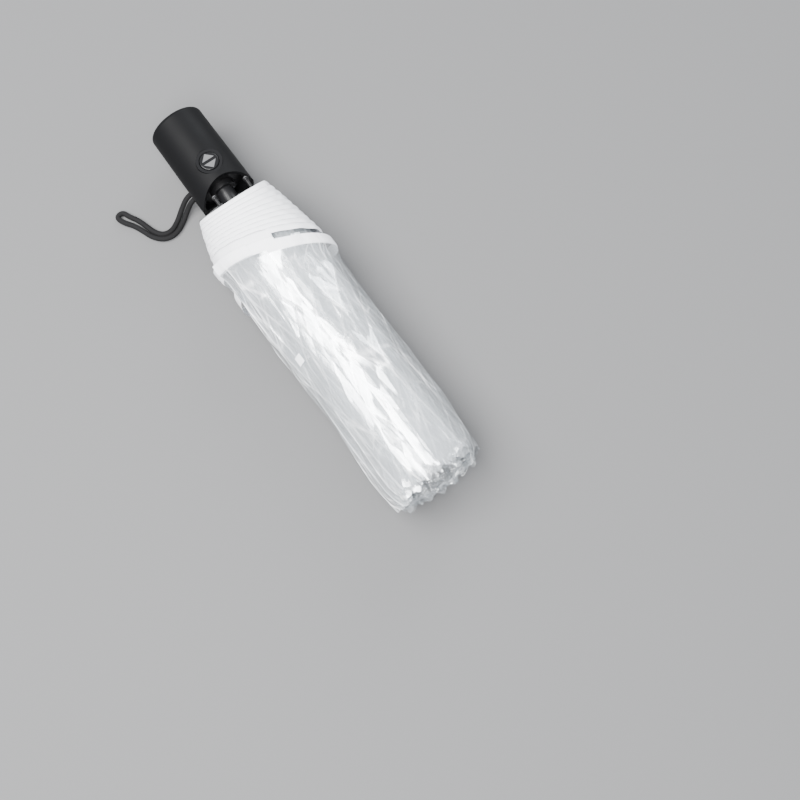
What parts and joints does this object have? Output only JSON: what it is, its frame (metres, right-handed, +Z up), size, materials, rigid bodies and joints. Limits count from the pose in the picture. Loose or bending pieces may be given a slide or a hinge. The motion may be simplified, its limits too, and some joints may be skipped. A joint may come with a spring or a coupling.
{
  "type": "compact folding umbrella",
  "caption": "Clear-film compact umbrella, folded and lying on its side: telescoping shaft, three-fold ribs, push-button handle, wrist strap.",
  "frame": {"origin": "centre of the handle's flat end face, on the shaft's axis", "axes": "+X along the shaft from the handle to the crown, +Z up as it lies"},
  "size_m": [0.3033, 0.0983, 0.0652],
  "materials": {
    "handle_grip": "soft-touch matte black",
    "dark_plastic": "satin black",
    "button_gloss": "glossy black",
    "symbol_silver": "silver grey print",
    "spring_steel": "bright spring steel",
    "shaft_steel": "dark grey coated tube",
    "frame_plastic": "satin black moulding",
    "strap_braid": "braided black cord",
    "white_fabric": "white woven tape",
    "clear_film": "clear glossy film",
    "rib_black": "black coated rod",
    "rib_steel": "grey coated channel"
  },
  "bodies": {
    "handle": {"handle_shell": "handle_grip", "handle_end_cap": "handle_grip", "handle_core": "dark_plastic", "button_bezel": "button_gloss", "button_spring": "spring_steel", "shaft_tube_lower": "shaft_steel", "drive_spring": "spring_steel", "strap_anchor": "dark_plastic", "wrist_strap": "strap_braid"},
    "button": {"push_button": "button_gloss", "button_symbol": "symbol_silver"},
    "latch": {"latch_lever": "spring_steel"},
    "shaft_middle": {"shaft_tube_middle": "shaft_steel"},
    "shaft_upper": {"shaft_tube_upper": "shaft_steel", "crown": "frame_plastic", "top_cap": "frame_plastic"},
    "runner": {"runner": "frame_plastic"},
    "rib_inner_1": {"rib_inner_1": "rib_steel"},
    "film_inner_1": {"film_inner_1": "clear_film"},
    "rib_mid_1": {"rib_mid_1": "rib_steel"},
    "film_mid_1": {"film_mid_1": "clear_film"},
    "rib_outer_1": {"rib_outer_1": "rib_black"},
    "film_outer_1": {"film_outer_1": "clear_film"},
    "stretcher_1": {"stretcher_1": "rib_steel"},
    "rib_inner_2": {"rib_inner_2": "rib_steel"},
    "film_inner_2": {"film_inner_2": "clear_film"},
    "rib_mid_2": {"rib_mid_2": "rib_steel"},
    "film_mid_2": {"film_mid_2": "clear_film"},
    "rib_outer_2": {"rib_outer_2": "rib_black"},
    "film_outer_2": {"film_outer_2": "clear_film"},
    "stretcher_2": {"stretcher_2": "rib_steel"},
    "rib_inner_3": {"rib_inner_3": "rib_steel"},
    "film_inner_3": {"film_inner_3": "clear_film"},
    "rib_mid_3": {"rib_mid_3": "rib_steel"},
    "film_mid_3": {"film_mid_3": "clear_film"},
    "rib_outer_3": {"rib_outer_3": "rib_black"},
    "film_outer_3": {"film_outer_3": "clear_film"},
    "stretcher_3": {"stretcher_3": "rib_steel"},
    "rib_inner_4": {"rib_inner_4": "rib_steel"},
    "film_inner_4": {"film_inner_4": "clear_film"},
    "rib_mid_4": {"rib_mid_4": "rib_steel"},
    "film_mid_4": {"film_mid_4": "clear_film"},
    "rib_outer_4": {"rib_outer_4": "rib_black"},
    "film_outer_4": {"film_outer_4": "clear_film", "closing_strap": "white_fabric"},
    "stretcher_4": {"stretcher_4": "rib_steel"},
    "rib_inner_5": {"rib_inner_5": "rib_steel"},
    "film_inner_5": {"film_inner_5": "clear_film"},
    "rib_mid_5": {"rib_mid_5": "rib_steel"},
    "film_mid_5": {"film_mid_5": "clear_film"},
    "rib_outer_5": {"rib_outer_5": "rib_black"},
    "film_outer_5": {"film_outer_5": "clear_film"},
    "stretcher_5": {"stretcher_5": "rib_steel"},
    "rib_inner_6": {"rib_inner_6": "rib_steel"},
    "film_inner_6": {"film_inner_6": "clear_film"},
    "rib_mid_6": {"rib_mid_6": "rib_steel"},
    "film_mid_6": {"film_mid_6": "clear_film"},
    "rib_outer_6": {"rib_outer_6": "rib_black"},
    "film_outer_6": {"film_outer_6": "clear_film"},
    "stretcher_6": {"stretcher_6": "rib_steel"}
  },
  "joints": [
    {"name": "button_press", "type": "slide", "parent": "handle", "child": "button", "axis": [0, 0, -1], "range_m": [0, 0.0012], "stiffness_N_per_m": 900, "springref_m": -0.001, "deforming": ["button_spring"]},
    {"name": "latch_tilt", "type": "hinge", "parent": "handle", "child": "latch", "pos_m": [0.0326, 0, 0.0096], "axis": [0, 1, 0], "range_deg": [0, 8.6]},
    {"name": "shaft_extend", "type": "slide", "parent": "handle", "child": "shaft_middle", "axis": [1, 0, 0], "range_m": [0, 0.195], "deforming": ["drive_spring"]},
    {"name": "shaft_extend_upper", "type": "slide", "parent": "shaft_middle", "child": "shaft_upper", "axis": [1, 0, 0], "range_m": [0, 0.195]},
    {"name": "canopy_open", "type": "hinge", "parent": "shaft_upper", "child": "rib_inner_1", "pos_m": [0.2863, 0.009, 0], "axis": [0, 0, -1], "range_deg": [0, 78]},
    {"name": "mid_hinge_1", "type": "hinge", "parent": "rib_inner_1", "child": "rib_mid_1", "pos_m": [0.0963, 0.0126, 0], "axis": [0, 0, -1], "range_deg": [-190.5, 0]},
    {"name": "outer_hinge_1", "type": "hinge", "parent": "rib_mid_1", "child": "rib_outer_1", "pos_m": [0.2813, 0.0166, 0], "axis": [0, 0, -1], "range_deg": [0, 168.5]},
    {"name": "stretcher_hinge_1", "type": "hinge", "parent": "rib_inner_1", "child": "stretcher_1", "pos_m": [0.1873, 0.009, 0], "axis": [0, 0, -1], "range_deg": [-156.5, 0]},
    {"name": "runner_hinge", "type": "hinge", "parent": "stretcher_1", "child": "runner", "pos_m": [0.0883, 0.009, 0], "axis": [0, 0, -1], "range_deg": [0, 78.5]},
    {"name": "film_inner_spread_1", "type": "hinge", "parent": "rib_inner_1", "child": "film_inner_1", "pos_m": [0.29155, -0.00958, 0], "axis": [0.2079, 0.9781, 0], "range_deg": [0, 60.5]},
    {"name": "film_mid_spread_1", "type": "hinge", "parent": "rib_mid_1", "child": "film_mid_1", "pos_m": [-0.07142, 0.11962, 0], "axis": [-0.3746, -0.9272, 0], "range_deg": [0, 60.5]},
    {"name": "film_outer_spread_1", "type": "hinge", "parent": "rib_outer_1", "child": "film_outer_1", "pos_m": [0.55119, -0.23712, 0], "axis": [0.5592, 0.829, 0], "range_deg": [0, 56.5]},
    {"name": "inner_hinge_2", "type": "hinge", "parent": "shaft_upper", "child": "rib_inner_2", "pos_m": [0.2863, 0.0045, 0.00779], "axis": [0, 0.866, -0.5], "range_deg": [0, 78]},
    {"name": "mid_hinge_2", "type": "hinge", "parent": "rib_inner_2", "child": "rib_mid_2", "pos_m": [0.0963, 0.0063, 0.01091], "axis": [0, 0.866, -0.5], "range_deg": [-190.5, 0]},
    {"name": "outer_hinge_2", "type": "hinge", "parent": "rib_mid_2", "child": "rib_outer_2", "pos_m": [0.2813, 0.0083, 0.01438], "axis": [0, 0.866, -0.5], "range_deg": [0, 168.5]},
    {"name": "stretcher_hinge_2", "type": "hinge", "parent": "rib_inner_2", "child": "stretcher_2", "pos_m": [0.1873, 0.0045, 0.00779], "axis": [0, 0.866, -0.5], "range_deg": [-156.5, 0]},
    {"name": "film_inner_spread_2", "type": "hinge", "parent": "rib_inner_2", "child": "film_inner_2", "pos_m": [0.29155, -0.00479, -0.0083], "axis": [0.2079, 0.4891, 0.8471], "range_deg": [0, 60.5]},
    {"name": "film_mid_spread_2", "type": "hinge", "parent": "rib_mid_2", "child": "film_mid_2", "pos_m": [-0.07142, 0.05981, 0.10359], "axis": [-0.3746, -0.4636, -0.803], "range_deg": [0, 60.5]},
    {"name": "film_outer_spread_2", "type": "hinge", "parent": "rib_outer_2", "child": "film_outer_2", "pos_m": [0.55119, -0.11856, -0.20535], "axis": [0.5592, 0.4145, 0.718], "range_deg": [0, 56.5]},
    {"name": "inner_hinge_3", "type": "hinge", "parent": "shaft_upper", "child": "rib_inner_3", "pos_m": [0.2863, -0.0045, 0.00779], "axis": [0, 0.866, 0.5], "range_deg": [0, 78]},
    {"name": "mid_hinge_3", "type": "hinge", "parent": "rib_inner_3", "child": "rib_mid_3", "pos_m": [0.0963, -0.0063, 0.01091], "axis": [0, 0.866, 0.5], "range_deg": [-190.5, 0]},
    {"name": "outer_hinge_3", "type": "hinge", "parent": "rib_mid_3", "child": "rib_outer_3", "pos_m": [0.2813, -0.0083, 0.01438], "axis": [0, 0.866, 0.5], "range_deg": [0, 168.5]},
    {"name": "stretcher_hinge_3", "type": "hinge", "parent": "rib_inner_3", "child": "stretcher_3", "pos_m": [0.1873, -0.0045, 0.00779], "axis": [0, 0.866, 0.5], "range_deg": [-156.5, 0]},
    {"name": "film_inner_spread_3", "type": "hinge", "parent": "rib_inner_3", "child": "film_inner_3", "pos_m": [0.29155, 0.00479, -0.0083], "axis": [0.2079, -0.4891, 0.8471], "range_deg": [0, 60.5]},
    {"name": "film_mid_spread_3", "type": "hinge", "parent": "rib_mid_3", "child": "film_mid_3", "pos_m": [-0.07142, -0.05981, 0.10359], "axis": [-0.3746, 0.4636, -0.803], "range_deg": [0, 60.5]},
    {"name": "film_outer_spread_3", "type": "hinge", "parent": "rib_outer_3", "child": "film_outer_3", "pos_m": [0.55119, 0.11856, -0.20535], "axis": [0.5592, -0.4145, 0.718], "range_deg": [0, 56.5]},
    {"name": "inner_hinge_4", "type": "hinge", "parent": "shaft_upper", "child": "rib_inner_4", "pos_m": [0.2863, -0.009, 0], "axis": [0, 0, 1], "range_deg": [0, 78]},
    {"name": "mid_hinge_4", "type": "hinge", "parent": "rib_inner_4", "child": "rib_mid_4", "pos_m": [0.0963, -0.0126, 0], "axis": [0, 0, 1], "range_deg": [-190.5, 0]},
    {"name": "outer_hinge_4", "type": "hinge", "parent": "rib_mid_4", "child": "rib_outer_4", "pos_m": [0.2813, -0.0166, 0], "axis": [0, 0, 1], "range_deg": [0, 168.5]},
    {"name": "stretcher_hinge_4", "type": "hinge", "parent": "rib_inner_4", "child": "stretcher_4", "pos_m": [0.1873, -0.009, 0], "axis": [0, 0, 1], "range_deg": [-156.5, 0]},
    {"name": "film_inner_spread_4", "type": "hinge", "parent": "rib_inner_4", "child": "film_inner_4", "pos_m": [0.29155, 0.00958, 0], "axis": [0.2079, -0.9781, 0], "range_deg": [0, 60.5]},
    {"name": "film_mid_spread_4", "type": "hinge", "parent": "rib_mid_4", "child": "film_mid_4", "pos_m": [-0.07142, -0.11962, 0], "axis": [-0.3746, 0.9272, 0], "range_deg": [0, 60.5]},
    {"name": "film_outer_spread_4", "type": "hinge", "parent": "rib_outer_4", "child": "film_outer_4", "pos_m": [0.55119, 0.23712, 0], "axis": [0.5592, -0.829, 0], "range_deg": [0, 56.5]},
    {"name": "inner_hinge_5", "type": "hinge", "parent": "shaft_upper", "child": "rib_inner_5", "pos_m": [0.2863, -0.0045, -0.00779], "axis": [0, -0.866, 0.5], "range_deg": [0, 78]},
    {"name": "mid_hinge_5", "type": "hinge", "parent": "rib_inner_5", "child": "rib_mid_5", "pos_m": [0.0963, -0.0063, -0.01091], "axis": [0, -0.866, 0.5], "range_deg": [-190.5, 0]},
    {"name": "outer_hinge_5", "type": "hinge", "parent": "rib_mid_5", "child": "rib_outer_5", "pos_m": [0.2813, -0.0083, -0.01438], "axis": [0, -0.866, 0.5], "range_deg": [0, 168.5]},
    {"name": "stretcher_hinge_5", "type": "hinge", "parent": "rib_inner_5", "child": "stretcher_5", "pos_m": [0.1873, -0.0045, -0.00779], "axis": [0, -0.866, 0.5], "range_deg": [-156.5, 0]},
    {"name": "film_inner_spread_5", "type": "hinge", "parent": "rib_inner_5", "child": "film_inner_5", "pos_m": [0.29155, 0.00479, 0.0083], "axis": [0.2079, -0.4891, -0.8471], "range_deg": [0, 60.5]},
    {"name": "film_mid_spread_5", "type": "hinge", "parent": "rib_mid_5", "child": "film_mid_5", "pos_m": [-0.07142, -0.05981, -0.10359], "axis": [-0.3746, 0.4636, 0.803], "range_deg": [0, 60.5]},
    {"name": "film_outer_spread_5", "type": "hinge", "parent": "rib_outer_5", "child": "film_outer_5", "pos_m": [0.55119, 0.11856, 0.20535], "axis": [0.5592, -0.4145, -0.718], "range_deg": [0, 56.5]},
    {"name": "inner_hinge_6", "type": "hinge", "parent": "shaft_upper", "child": "rib_inner_6", "pos_m": [0.2863, 0.0045, -0.00779], "axis": [0, -0.866, -0.5], "range_deg": [0, 78]},
    {"name": "mid_hinge_6", "type": "hinge", "parent": "rib_inner_6", "child": "rib_mid_6", "pos_m": [0.0963, 0.0063, -0.01091], "axis": [0, -0.866, -0.5], "range_deg": [-190.5, 0]},
    {"name": "outer_hinge_6", "type": "hinge", "parent": "rib_mid_6", "child": "rib_outer_6", "pos_m": [0.2813, 0.0083, -0.01438], "axis": [0, -0.866, -0.5], "range_deg": [0, 168.5]},
    {"name": "stretcher_hinge_6", "type": "hinge", "parent": "rib_inner_6", "child": "stretcher_6", "pos_m": [0.1873, 0.0045, -0.00779], "axis": [0, -0.866, -0.5], "range_deg": [-156.5, 0]},
    {"name": "film_inner_spread_6", "type": "hinge", "parent": "rib_inner_6", "child": "film_inner_6", "pos_m": [0.29155, -0.00479, 0.0083], "axis": [0.2079, 0.4891, -0.8471], "range_deg": [0, 60.5]},
    {"name": "film_mid_spread_6", "type": "hinge", "parent": "rib_mid_6", "child": "film_mid_6", "pos_m": [-0.07142, 0.05981, -0.10359], "axis": [-0.3746, -0.4636, 0.803], "range_deg": [0, 60.5]},
    {"name": "film_outer_spread_6", "type": "hinge", "parent": "rib_outer_6", "child": "film_outer_6", "pos_m": [0.55119, -0.11856, 0.20535], "axis": [0.5592, 0.4145, -0.718], "range_deg": [0, 56.5]}
  ],
  "couplings": [
    {"joint": "latch_tilt", "follows": "button_press", "rad_per_m": 111.11},
    {"joint": "shaft_extend_upper", "follows": "shaft_extend", "ratio": 1},
    {"joint": "mid_hinge_1", "follows": "canopy_open", "ratio": -2.4359},
    {"joint": "outer_hinge_1", "follows": "canopy_open", "ratio": 2.1538},
    {"joint": "stretcher_hinge_1", "follows": "canopy_open", "ratio": -2},
    {"joint": "runner_hinge", "follows": "canopy_open", "ratio": 1},
    {"joint": "film_inner_spread_1", "follows": "canopy_open", "ratio": 0.76923},
    {"joint": "film_mid_spread_1", "follows": "canopy_open", "ratio": 0.76923},
    {"joint": "film_outer_spread_1", "follows": "canopy_open", "ratio": 0.71795},
    {"joint": "inner_hinge_2", "follows": "canopy_open", "ratio": 1},
    {"joint": "mid_hinge_2", "follows": "canopy_open", "ratio": -2.4359},
    {"joint": "outer_hinge_2", "follows": "canopy_open", "ratio": 2.1538},
    {"joint": "stretcher_hinge_2", "follows": "canopy_open", "ratio": -2},
    {"joint": "film_inner_spread_2", "follows": "canopy_open", "ratio": 0.76923},
    {"joint": "film_mid_spread_2", "follows": "canopy_open", "ratio": 0.76923},
    {"joint": "film_outer_spread_2", "follows": "canopy_open", "ratio": 0.71795},
    {"joint": "inner_hinge_3", "follows": "canopy_open", "ratio": 1},
    {"joint": "mid_hinge_3", "follows": "canopy_open", "ratio": -2.4359},
    {"joint": "outer_hinge_3", "follows": "canopy_open", "ratio": 2.1538},
    {"joint": "stretcher_hinge_3", "follows": "canopy_open", "ratio": -2},
    {"joint": "film_inner_spread_3", "follows": "canopy_open", "ratio": 0.76923},
    {"joint": "film_mid_spread_3", "follows": "canopy_open", "ratio": 0.76923},
    {"joint": "film_outer_spread_3", "follows": "canopy_open", "ratio": 0.71795},
    {"joint": "inner_hinge_4", "follows": "canopy_open", "ratio": 1},
    {"joint": "mid_hinge_4", "follows": "canopy_open", "ratio": -2.4359},
    {"joint": "outer_hinge_4", "follows": "canopy_open", "ratio": 2.1538},
    {"joint": "stretcher_hinge_4", "follows": "canopy_open", "ratio": -2},
    {"joint": "film_inner_spread_4", "follows": "canopy_open", "ratio": 0.76923},
    {"joint": "film_mid_spread_4", "follows": "canopy_open", "ratio": 0.76923},
    {"joint": "film_outer_spread_4", "follows": "canopy_open", "ratio": 0.71795},
    {"joint": "inner_hinge_5", "follows": "canopy_open", "ratio": 1},
    {"joint": "mid_hinge_5", "follows": "canopy_open", "ratio": -2.4359},
    {"joint": "outer_hinge_5", "follows": "canopy_open", "ratio": 2.1538},
    {"joint": "stretcher_hinge_5", "follows": "canopy_open", "ratio": -2},
    {"joint": "film_inner_spread_5", "follows": "canopy_open", "ratio": 0.76923},
    {"joint": "film_mid_spread_5", "follows": "canopy_open", "ratio": 0.76923},
    {"joint": "film_outer_spread_5", "follows": "canopy_open", "ratio": 0.71795},
    {"joint": "inner_hinge_6", "follows": "canopy_open", "ratio": 1},
    {"joint": "mid_hinge_6", "follows": "canopy_open", "ratio": -2.4359},
    {"joint": "outer_hinge_6", "follows": "canopy_open", "ratio": 2.1538},
    {"joint": "stretcher_hinge_6", "follows": "canopy_open", "ratio": -2},
    {"joint": "film_inner_spread_6", "follows": "canopy_open", "ratio": 0.76923},
    {"joint": "film_mid_spread_6", "follows": "canopy_open", "ratio": 0.76923},
    {"joint": "film_outer_spread_6", "follows": "canopy_open", "ratio": 0.71795}
  ]
}
